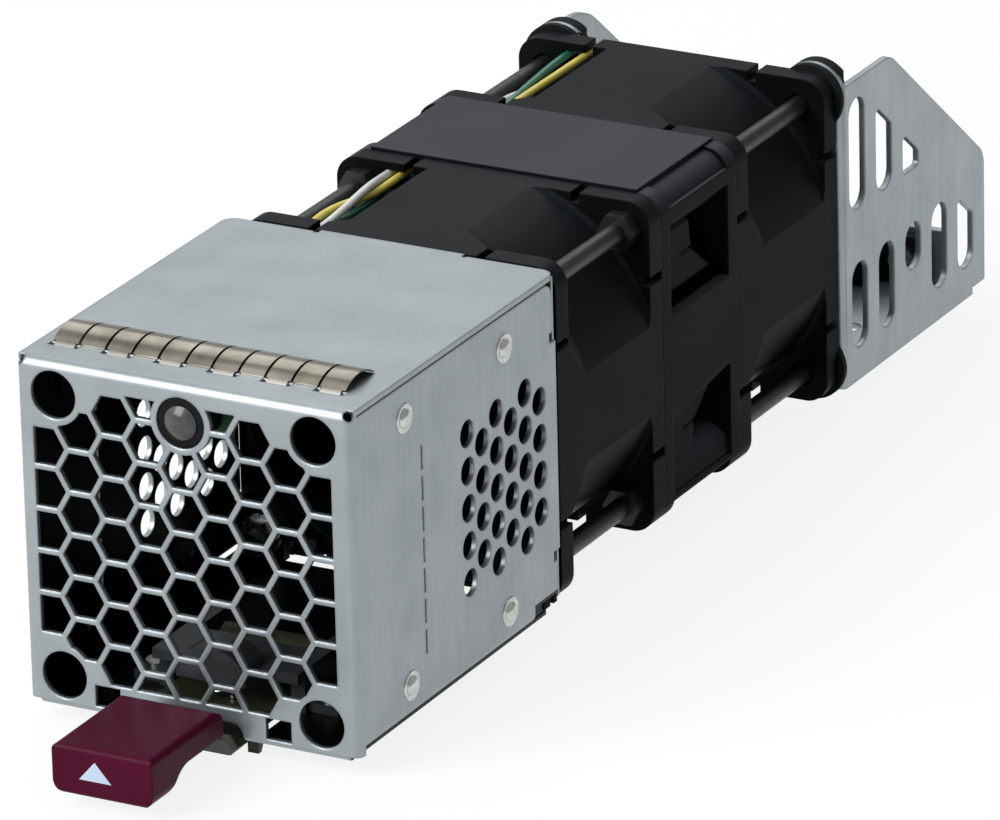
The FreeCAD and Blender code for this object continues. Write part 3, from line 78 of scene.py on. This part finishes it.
def newMaterial(name):
    mat = bpy.data.materials.new(name)
    mat.use_nodes = True
    tree = mat.node_tree
    shader = tree.nodes["Principled BSDF"]
    return mat, tree, shader


def addNode(tree, kind, **values):
    # values set either a socket of that name or a property
    node = tree.nodes.new(kind)
    for key, value in values.items():
        if key in node.inputs:
            node.inputs[key].default_value = value
        else:
            setattr(node, key, value)
    return node


surfaceNoise = {"streaks": (4, 0.6), "clouds": (3, 0.5), "grain": (2, 0.5)}  # detail and roughness


def noiseTexture(tree, kind, scale, stretch=(1, 1, 1)):
    detail, roughness = surfaceNoise[kind]
    coords = addNode(tree, "ShaderNodeTexCoord")
    mapping = addNode(tree, "ShaderNodeMapping")
    mapping.inputs["Scale"].default_value = stretch
    noise = addNode(tree, "ShaderNodeTexNoise", Scale=scale, Detail=detail, Roughness=roughness)
    tree.links.new(coords.outputs["Object"], mapping.inputs["Vector"])
    tree.links.new(mapping.outputs["Vector"], noise.inputs["Vector"])
    return noise.outputs["Fac"]


def remap(tree, value, low, high, fromLow=0.3, fromHigh=0.7):
    node = addNode(tree, "ShaderNodeMapRange")
    node.inputs["From Min"].default_value = fromLow
    node.inputs["From Max"].default_value = fromHigh
    node.inputs["To Min"].default_value = low
    node.inputs["To Max"].default_value = high
    tree.links.new(value, node.inputs["Value"])
    return node.outputs["Result"]


def mixColors(tree, factor, colorA, colorB):
    node = addNode(tree, "ShaderNodeMix", data_type="RGBA")
    for socket, color in ((node.inputs[6], colorA), (node.inputs[7], colorB)):
        if hasattr(color, "is_output"):
            tree.links.new(color, socket)
        else:
            socket.default_value = (*color, 1)
    tree.links.new(factor, node.inputs[0])
    return node.outputs[2]


def combined(tree, operation, first, second):
    # second is a plain number or another node's output
    node = addNode(tree, "ShaderNodeMath", operation=operation)
    tree.links.new(first, node.inputs[0])
    if hasattr(second, "is_output"):
        tree.links.new(second, node.inputs[1])
    else:
        node.inputs[1].default_value = second
    return node.outputs[0]


def objectAxes(tree):
    coords = addNode(tree, "ShaderNodeTexCoord")
    parts = addNode(tree, "ShaderNodeSeparateXYZ")
    tree.links.new(coords.outputs["Object"], parts.inputs[0])
    return parts.outputs


fineBump = 0.0001  # height of the finest relief


def bumpFrom(tree, height, strength, edge):
    # fine relief; edge is the radius over which sharp corners catch the light
    node = addNode(tree, "ShaderNodeBump", Strength=strength, Distance=fineBump)
    tree.links.new(height, node.inputs["Height"])
    if edge:
        soft = addNode(tree, "ShaderNodeBevel", samples=4, Radius=edge)
        tree.links.new(soft.outputs["Normal"], node.inputs["Normal"])
    return node.outputs["Normal"]


# axis, place of the limit and the side of it that counts as within the cage, where shade is painted
innerShadeBox = (("X", -0.03015, "GREATER_THAN"), ("X", 0.03015, "LESS_THAN"), ("Y", 0.00095, "GREATER_THAN"),
              ("Y", 0.0705, "LESS_THAN"), ("Z", 0.02955, "LESS_THAN"))


def insideCage(tree):
    # painted shade: product of five steps, 1 within the cage, 0 on its outer faces and on the holes' walls
    axes = objectAxes(tree)
    steps = [combined(tree, test, axes[axis], place) for axis, place, test in innerShadeBox]
    total = steps[0]
    for step in steps[1:]:
        total = combined(tree, "MULTIPLY", total, step)
    return total


# painted highlight: the gasket's front edge is drawn lighter, standing for light caught by its finger tips
tipHighlightReach = {"bright": 0.0072, "plain": 0.0080}  # how far back the gasket's bright edge reaches
steelSpread = (-0.05, 0.06)  # how far the streaks move the roughness down and up


def steelMaterial(name, look):
    mat, tree, shader = newMaterial(name)
    streaks = noiseTexture(tree, "streaks", look["streakScale"], look["streakStretch"])
    clouds = noiseTexture(tree, "clouds", look["cloudScale"])
    color = mixColors(tree, remap(tree, clouds, 0, 1), look["dark"], look["light"])
    if "tips" in look:
        # painted highlight on the gasket's finger tips
        share = remap(tree, objectAxes(tree)["Y"], 1, 0, tipHighlightReach["bright"], tipHighlightReach["plain"])
        color = mixColors(tree, share, color, look["tips"])
    if "inside" in look:
        # painted shade: the cage's inner faces take a near-black colour
        color = mixColors(tree, insideCage(tree), color, look["inside"])
    tree.links.new(color, shader.inputs["Base Color"])
    rough = remap(tree, streaks, *(look["roughness"] + part for part in steelSpread))
    tree.links.new(rough, shader.inputs["Roughness"])
    shader.inputs["Metallic"].default_value = look["metallic"]
    relief = bumpFrom(tree, streaks, look["bump"], look.get("edge", 0))
    tree.links.new(relief, shader.inputs["Normal"])
    return mat


plasticSpread = (-0.04, 0.05)
topLightFacing = (0.2, 0.95)  # upward part of the normal where the painted top light begins and where it is full


def topLightShare(tree):
    # painted light: 0 on walls, 1 on faces that look up, which are drawn lighter as if lit from above
    geometry = addNode(tree, "ShaderNodeNewGeometry")
    parts = addNode(tree, "ShaderNodeSeparateXYZ")
    tree.links.new(geometry.outputs["Normal"], parts.inputs[0])
    return remap(tree, parts.outputs["Z"], 0, 1, *topLightFacing)


def plasticMaterial(name, look):
    mat, tree, shader = newMaterial(name)
    grain = noiseTexture(tree, "grain", look["grainScale"])
    clouds = noiseTexture(tree, "clouds", look["cloudScale"])
    color = mixColors(tree, remap(tree, clouds, 0, 1), look["dark"], look["light"])
    if "paintedTopLight" in look:
        # painted light: faces that look up take a lighter colour
        color = mixColors(tree, topLightShare(tree), color, look["paintedTopLight"])
    tree.links.new(color, shader.inputs["Base Color"])
    rough = remap(tree, clouds, *(look["roughness"] + part for part in plasticSpread))
    tree.links.new(rough, shader.inputs["Roughness"])
    shader.inputs["Specular IOR Level"].default_value = look.get("specular", 0.5)
    relief = bumpFrom(tree, grain, look["bump"], look.get("edge", 0))
    tree.links.new(relief, shader.inputs["Normal"])
    return mat


# the galvanised sheet carries painted shade, near-black, on the cage's inner faces
galvanised = steelMaterial("galvanisedSheet", {
    "dark": (0.31, 0.345, 0.365), "light": (0.365, 0.40, 0.42), "roughness": 0.42, "metallic": 0.9,
    "inside": (0.006, 0.0065, 0.007), "edge": 0.0006,
    "streakScale": 900, "streakStretch": (1, 1, 0.08), "cloudScale": 90, "bump": 0.08})
brightSteel = steelMaterial("brightSteel", {
    "dark": (0.5, 0.5, 0.5), "light": (0.6, 0.6, 0.6), "roughness": 0.28, "metallic": 1.0,
    "streakScale": 900, "streakStretch": (1, 1, 1), "cloudScale": 200, "bump": 0.05})
blackSteel = steelMaterial("blackSteel", {
    "dark": (0.008, 0.0095, 0.0105), "light": (0.014, 0.017, 0.0185), "roughness": 0.38, "metallic": 0.3,
    "streakScale": 900, "streakStretch": (1, 1, 1), "cloudScale": 200, "bump": 0.05})
# the gasket strip carries a painted highlight along its front finger tips
nickel = steelMaterial("nickelStrip", {
    "dark": (0.20, 0.185, 0.15), "light": (0.34, 0.32, 0.27), "roughness": 0.22, "metallic": 1.0,
    "tips": (0.62, 0.61, 0.57), "streakScale": 700, "streakStretch": (0.1, 1, 1), "cloudScale": 200,
    "bump": 0.05})
# the black plastics and the rubber take painted top light on their upward faces
fanBlack = plasticMaterial("fanBlack", {
    "dark": (0.0018, 0.0024, 0.0026), "light": (0.0034, 0.0044, 0.0047), "roughness": 0.42,
    "paintedTopLight": (0.011, 0.0135, 0.015), "specular": 0.03, "edge": 0.0005,
    "grainScale": 2500, "cloudScale": 60, "bump": 0.12})
spacerBlack = plasticMaterial("spacerBlack", {
    "dark": (0.002, 0.0027, 0.0029), "light": (0.0038, 0.0049, 0.0051), "roughness": 0.45,
    "paintedTopLight": (0.042, 0.046, 0.054), "specular": 0.03, "edge": 0.0007,
    "grainScale": 2500, "cloudScale": 60, "bump": 0.12})
rubber = plasticMaterial("rubber", {
    "dark": (0.006, 0.006, 0.0065), "light": (0.010, 0.010, 0.0105), "roughness": 0.6,
    "paintedTopLight": (0.012, 0.0135, 0.0145), "specular": 0.05, "edge": 0.0004,
    "grainScale": 1800, "cloudScale": 80, "bump": 0.1})
maroon = plasticMaterial("maroonGrip", {
    "dark": (0.047, 0.0022, 0.0135), "light": (0.055, 0.003, 0.0165), "roughness": 0.33,
    "specular": 0.05, "edge": 0.0006, "grainScale": 2800, "cloudScale": 70, "bump": 0.15})
whitePrint = plasticMaterial("whitePrint", {
    "dark": (0.36, 0.43, 0.54), "light": (0.42, 0.5, 0.61), "roughness": 0.5,
    "specular": 0.2, "grainScale": 2500, "cloudScale": 100, "bump": 0.05})
smoke = plasticMaterial("smokePlastic", {
    "dark": (0.02, 0.022, 0.024), "light": (0.035, 0.038, 0.041), "roughness": 0.3,
    "specular": 0.2, "grainScale": 2500, "cloudScale": 100, "bump": 0.05})
olive = plasticMaterial("olivePlastic", {
    "dark": (0.02, 0.02, 0.013), "light": (0.035, 0.035, 0.022), "roughness": 0.35,
    "specular": 0.2, "grainScale": 2500, "cloudScale": 100, "bump": 0.05})
lens = plasticMaterial("lightLens", {
    "dark": (0.030, 0.032, 0.034), "light": (0.065, 0.068, 0.072), "roughness": 0.22, "specular": 0.35,
    "grainScale": 2500, "cloudScale": 400, "bump": 0.02})
boardGreen = plasticMaterial("boardGreen", {
    "dark": (0.01, 0.06, 0.025), "light": (0.015, 0.09, 0.035), "roughness": 0.4,
    "grainScale": 1500, "cloudScale": 100, "bump": 0.05})
copper = steelMaterial("copperWire", {
    "dark": (0.5, 0.2, 0.08), "light": (0.65, 0.3, 0.13), "roughness": 0.3, "metallic": 1.0,
    "streakScale": 900, "streakStretch": (1, 1, 1), "cloudScale": 200, "bump": 0.05})
wireColors = {"yellow": ((0.5, 0.42, 0.06), (0.62, 0.53, 0.09)),
              "white": ((0.5, 0.52, 0.5), (0.62, 0.64, 0.62)),
              "green": ((0.01, 0.10, 0.06), (0.015, 0.14, 0.09))}
wireMaterials = {key: plasticMaterial("wire_" + key, {
    "dark": pair[0], "light": pair[1], "roughness": 0.3,
    "grainScale": 1500, "cloudScale": 120, "bump": 0.05}) for key, pair in wireColors.items()}

slotMaterials = {
    "galvanised": galvanised, "zinc_steel": brightSteel, "black_steel": blackSteel,
    "rivet_steel": brightSteel, "nickel": nickel, "latch_steel": brightSteel,
    "maroon": maroon, "white_mark": whitePrint, "olive_plastic": olive,
    "smoke_plastic": smoke, "lens": lens, "black_moulding": rubber, "board": boardGreen,
    "emitter": whitePrint, "contact_metal": copper, "rubber": rubber, "spacer_black": spacerBlack,
    "wire_yellow": wireMaterials["yellow"], "wire_white": wireMaterials["white"],
    "wire_green": wireMaterials["green"], "lead_sleeve": rubber, "fan_black": fanBlack,
    "yoke_steel": brightSteel, "magnet": rubber, "brass": copper, "core_steel": brightSteel, "copper": copper}
for row in frame["record"]["subparts"]:
    data = nodes[row["node"]].data
    data.materials.clear()
    data.materials.append(slotMaterials[row["material_slot"]])
print("materials ready")


def placePiece(name, mesh, material):
    mesh.update()
    mesh.materials.clear()
    mesh.materials.append(material)
    piece = bpy.data.objects.new(name, mesh)
    bpy.context.scene.collection.objects.link(piece)
    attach(piece, "module")
    return piece


def addPiece(name, verts, faces, material, smooth=True):
    mesh = bpy.data.meshes.new(name)
    mesh.from_pydata(verts.reshape(-1, 3).tolist(), [], faces.reshape(-1, faces.shape[-1]).tolist())
    mesh.polygons.foreach_set("use_smooth", np.full(len(mesh.polygons), smooth))
    return placePiece(name, mesh, material)


def gridFaces(rows, cols, closed):
    # quads between neighbouring rows of points; closed joins the last column to the first
    start = np.arange(rows - 1)[:, None] * cols + np.arange(cols if closed else cols - 1)[None]
    nextCol = start // cols * cols + (start + 1) % cols
    return np.stack([start, start + cols, nextCol + cols, nextCol], -1)


def turned(profile, spots, count=40):
    # profile of (radius, height) turned about each spot's own axis; height runs along X, away from the middle
    angle = np.linspace(0, 2 * np.pi, count, endpoint=False)
    spots = np.array(spots)
    side = np.sign(spots[:, 0])[:, None, None]
    x = spots[:, 0, None, None] + side * profile[None, :, None, 1] + 0 * angle
    y = spots[:, 1, None, None] + profile[None, :, None, 0] * np.cos(angle) * side
    z = spots[:, 2, None, None] + profile[None, :, None, 0] * np.sin(angle)
    verts = np.stack([x, y, z], -1)
    faces = gridFaces(len(profile), count, True).reshape(-1, 4)[:, ::-1]
    steps = np.arange(len(spots))[:, None, None] * len(profile) * count
    return verts, faces[None] + steps


rivetHeads = {"rows": (0.0177, 0.0519), "height": 0.0234, "wall": 0.0311, "rim": 0.0026, "rimRound": 0.00015,
              "rimTop": 0.00022, "sunk": -0.0001, "groove": 0.0004, "grooveTop": 0.00024, "foot": 0.00012,
              "dome": 0.0017, "domeFoot": 0.98, "domeRise": 0.00085, "domeTop": 0.00097, "pole": 1e-6,
              "domeSteps": 9}


def buildRivets(look):
    # a flat rim, a shallow groove and a dome: quarter circle from the groove to the top
    turn = np.linspace(0, np.pi / 2, look["domeSteps"])[:-1]
    rim, dome, foot = look["rim"], look["dome"], look["foot"]
    edge = [(rim, look["sunk"]), (rim, foot), (rim - look["rimRound"], look["rimTop"]),
            (dome + look["groove"], look["grooveTop"]), (dome, foot)]
    cap = np.stack([dome * np.cos(turn) * look["domeFoot"], foot + look["domeRise"] * np.sin(turn)], -1)
    profile = np.concatenate([edge, cap, [(look["pole"], look["domeTop"])]])
    spots = [(side * look["wall"], y, z) for side in (-1, 1) for y in look["rows"]
             for z in (-look["height"], look["height"])]
    verts, faces = turned(profile, spots)
    piece = addPiece("rivetHeads", verts, faces, rivetSteel)
    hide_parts("side_rivets")


rivetSteel = steelMaterial("rivetSteel", {
    "dark": (0.45, 0.46, 0.45), "light": (0.62, 0.63, 0.62), "roughness": 0.2, "metallic": 1.0,
    "streakScale": 1500, "streakStretch": (1, 1, 1), "cloudScale": 700, "bump": 0.2})
buildRivets(rivetHeads)

floorHems = {"inner": 0.0281, "outer": 0.0288, "front": 0.0022, "rear": 0.0682,
             "low": -0.0300, "high": -0.0278}


def buildHems(look):
    # a closed strip along each lower edge of the cage, between the side wall and the bottom flap:
    # a rectangle across X and Z, carried from the front to the rear
    u = np.array([look["inner"], look["outer"], look["outer"], look["inner"]])
    z = np.array([look["low"], look["low"], look["high"], look["high"]])
    y = np.array([look["front"], look["rear"]])
    rows = np.stack([np.stack([side * u + 0 * z, 0 * u + end, z], -1) for side in (-1, 1) for end in y])
    verts = rows.reshape(2, 2, 4, 3)
    walls = gridFaces(2, 4, True).reshape(-1, 4)
    ends = np.array([[0, 1, 2, 3], [7, 6, 5, 4]])
    faces = np.concatenate([walls, ends])
    faces = np.stack([faces[:, ::-1], faces + 8])
    # the strip lies wholly within the cage, so it takes the cage's painted shade and is drawn near-black
    addPiece("floorHems", verts, faces, galvanised, False)


buildHems(floorHems)

bracketEdges = {"ear": 0.00612, "hole": 0.025, "earLow": 0.0272, "earDepth": 0.003, "leftPlate": -0.029,
                "oldKnee": 0.005, "newKnee": 0.0135, "kneeLength": 0.0204, "top": 0.0271, "slant": 0.6832,
                "radiusSlack": 0.0002, "angleSlack": 0.01}


def buildBracket(look):
    # the node's own mesh with trimmed ears, drawn in to a circle round each hole, and with a rounder knee
    # on the left side plate: points on the old knee's arc move to the same angle of the new one
    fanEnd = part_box("fan_b_frame")[1][1]
    mesh = nodes["rear_bracket"].data.copy()
    mesh.name = "bracketTrimmed"
    co = np.empty(len(mesh.vertices) * 3)
    mesh.vertices.foreach_get("co", co)
    co = co.reshape(-1, 3)
    across = np.abs(co[:, 0]) - look["hole"]
    up = co[:, 2] - look["hole"]
    reach = np.hypot(across, up)
    ear = (co[:, 1] < fanEnd + look["earDepth"]) & (co[:, 2] > look["earLow"]) & (reach > look["ear"])
    scale = np.where(ear, look["ear"] / np.maximum(reach, 1e-6), 1)
    co[:, 0] = np.sign(co[:, 0]) * (look["hole"] + across * scale)
    co[:, 2] = look["hole"] + up * scale
    back = co[:, 1] - fanEnd
    oldSpan, newSpan = (look[key] * math.tan(look["slant"] / 2) for key in ("oldKnee", "newKnee"))
    oldBack, oldUp = back - (look["kneeLength"] - oldSpan), co[:, 2] - (look["top"] - look["oldKnee"])
    angle, radius = np.arctan2(oldBack, oldUp), np.hypot(oldBack, oldUp)
    knee = (co[:, 0] < look["leftPlate"]) & (np.abs(radius - look["oldKnee"]) < look["radiusSlack"])
    knee &= (angle > -look["angleSlack"]) & (angle < look["slant"] + look["angleSlack"])
    newBack = fanEnd + look["kneeLength"] - newSpan + look["newKnee"] * np.sin(angle)
    newUp = look["top"] - look["newKnee"] + look["newKnee"] * np.cos(angle)
    co[:, 1] = np.where(knee, newBack, co[:, 1])
    co[:, 2] = np.where(knee, newUp, co[:, 2])
    print("bracket points moved:", int(ear.sum()), int(knee.sum()))
    mesh.vertices.foreach_set("co", co.ravel())
    piece = placePiece("rearBracketTrimmed", mesh, galvanised)
    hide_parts("rear_bracket")


buildBracket(bracketEdges)
print("pieces built")


studio = {"floorZ": -0.0336, "floorSize": 12.0, "floorGrey": 0.8, "floorGlow": 0.86, "worldLight": 0.42}


def buildStudio(look):
    # the floor glows for what the camera sees, directly or in metal, and is matte for all other light
    mesh = bpy.data.meshes.new("floor")
    s = look["floorSize"] / 2
    mesh.from_pydata([(-s, -s, look["floorZ"]), (s, -s, look["floorZ"]),
                      (s, s, look["floorZ"]), (-s, s, look["floorZ"])], [], [(0, 1, 2, 3)])
    floor = bpy.data.objects.new("floor", mesh)
    bpy.context.scene.collection.objects.link(floor)
    mat, tree, shader = newMaterial("floorWhite")
    tree.nodes.remove(shader)
    out = tree.nodes["Material Output"]
    path = addNode(tree, "ShaderNodeLightPath")
    glow = addNode(tree, "ShaderNodeEmission", Strength=1.0)
    matte = addNode(tree, "ShaderNodeBsdfDiffuse")
    matte.inputs["Color"].default_value = (look["floorGrey"], look["floorGrey"], look["floorGrey"], 1)
    mirrored = combined(tree, "MAXIMUM", path.outputs["Is Glossy Ray"], path.outputs["Is Transmission Ray"])
    seen = combined(tree, "MAXIMUM", path.outputs["Is Camera Ray"], mirrored)
    share = combined(tree, "MULTIPLY", seen, look["floorGlow"])
    mix = addNode(tree, "ShaderNodeMixShader")
    tree.links.new(share, mix.inputs[0])
    tree.links.new(matte.outputs[0], mix.inputs[1])
    tree.links.new(glow.outputs[0], mix.inputs[2])
    tree.links.new(mix.outputs[0], out.inputs["Surface"])
    mesh.materials.append(mat)

    world = bpy.data.worlds.new("studio")
    bpy.context.scene.world = world
    world.use_nodes = True
    tree = world.node_tree
    back = tree.nodes["Background"]
    path = addNode(tree, "ShaderNodeLightPath")
    seen = combined(tree, "MAXIMUM", path.outputs["Is Camera Ray"], path.outputs["Is Transmission Ray"])
    level = addNode(tree, "ShaderNodeMapRange")
    level.inputs["To Min"].default_value = look["worldLight"]
    level.inputs["To Max"].default_value = 1.0
    tree.links.new(seen, level.inputs["Value"])
    tree.links.new(level.outputs["Result"], back.inputs["Strength"])
    back.inputs["Color"].default_value = (1, 1, 1, 1)


lampAim = (0, 0.1, 0)
lamps = {"keyLamp": {"at": (-0.8, -1.3, 1.1), "size": 1.2, "power": 48},
         "backLamp": {"at": (-0.6, 1.6, 1.4), "size": 1.4, "power": 8},
         "topLamp": {"at": (-0.3, 0.2, 1.8), "size": 1.2, "power": 5}}


def addLamp(name, look):
    data = bpy.data.lights.new(name, "AREA")
    data.energy = look["power"]
    data.size = look["size"]
    lamp = bpy.data.objects.new(name, data)
    aim = Vector(lampAim) - Vector(look["at"])
    lamp.matrix_world = Matrix.Translation(look["at"]) @ aim.to_track_quat("-Z", "Y").to_matrix().to_4x4()
    bpy.context.scene.collection.objects.link(lamp)


buildStudio(studio)
for lampName, lampLook in lamps.items():
    addLamp(lampName, lampLook)
bpy.context.scene.view_settings.view_transform = "Standard"
print("studio ready")
